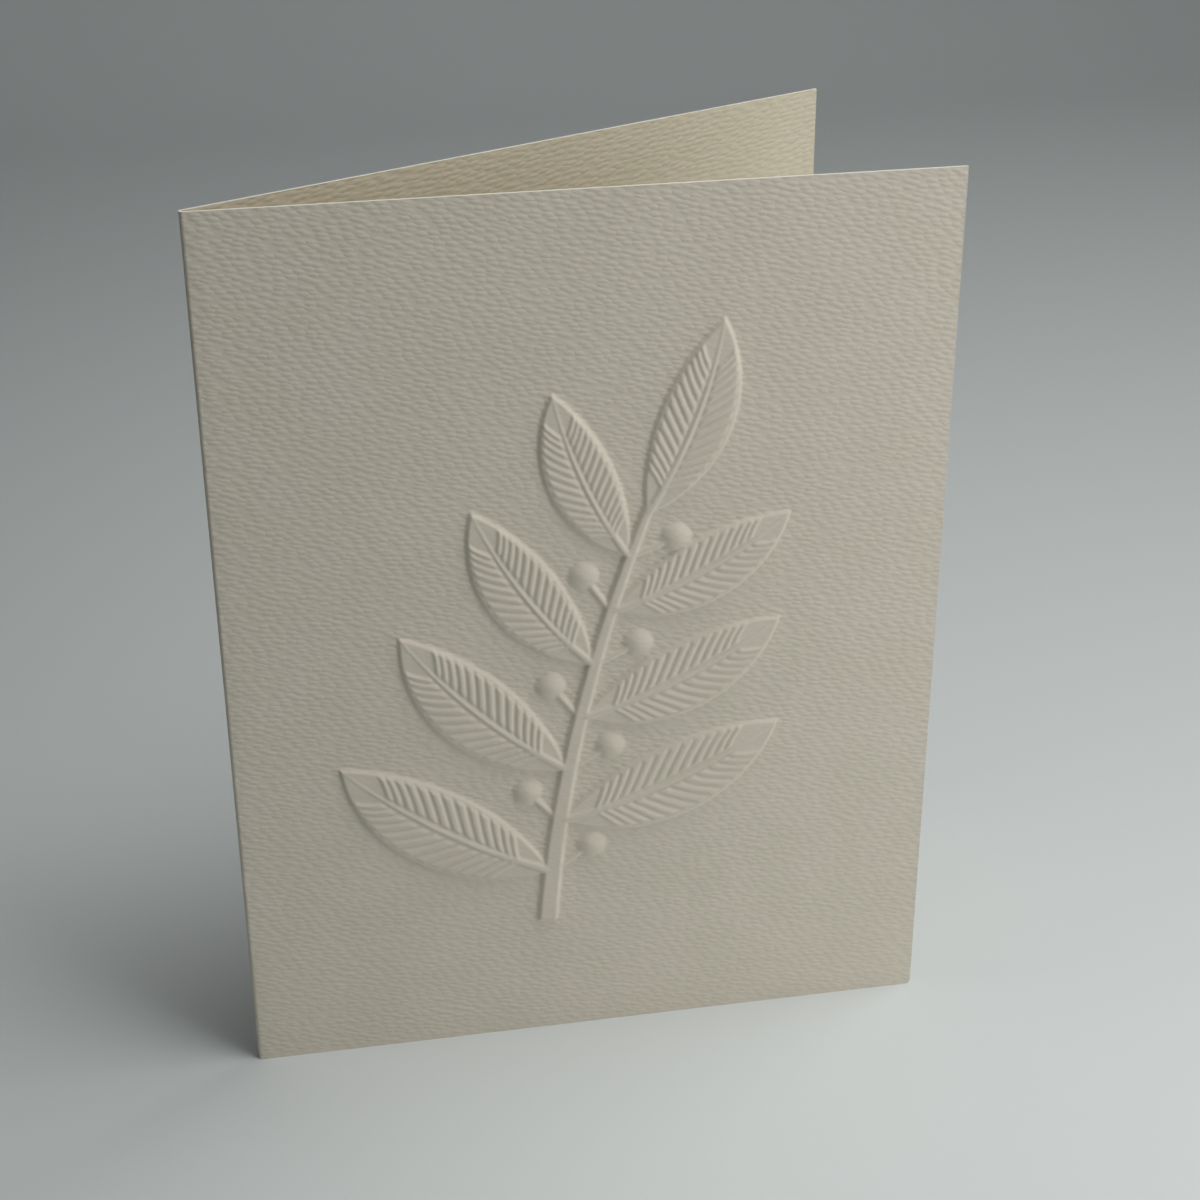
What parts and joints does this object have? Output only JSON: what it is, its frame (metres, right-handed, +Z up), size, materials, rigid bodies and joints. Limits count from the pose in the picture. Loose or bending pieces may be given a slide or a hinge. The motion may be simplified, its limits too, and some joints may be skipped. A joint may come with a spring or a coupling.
{
  "type": "greeting card",
  "caption": "Folded blank greeting card in heavy felt-marked ivory card, standing open, with a blind-embossed leafy sprig on its front panel.",
  "frame": {"origin": "on the table, under the middle of the card's box as it stands open", "axes": "+Z up along the fold, the front panel along X facing -Y with the fold at its -X end, the back panel opening away towards +Y"},
  "size_m": [0.108, 0.046, 0.1397],
  "materials": {
    "card_stock": "matte"
  },
  "bodies": {
    "root": {"folded_card": "card_stock"}
  },
  "joints": []
}
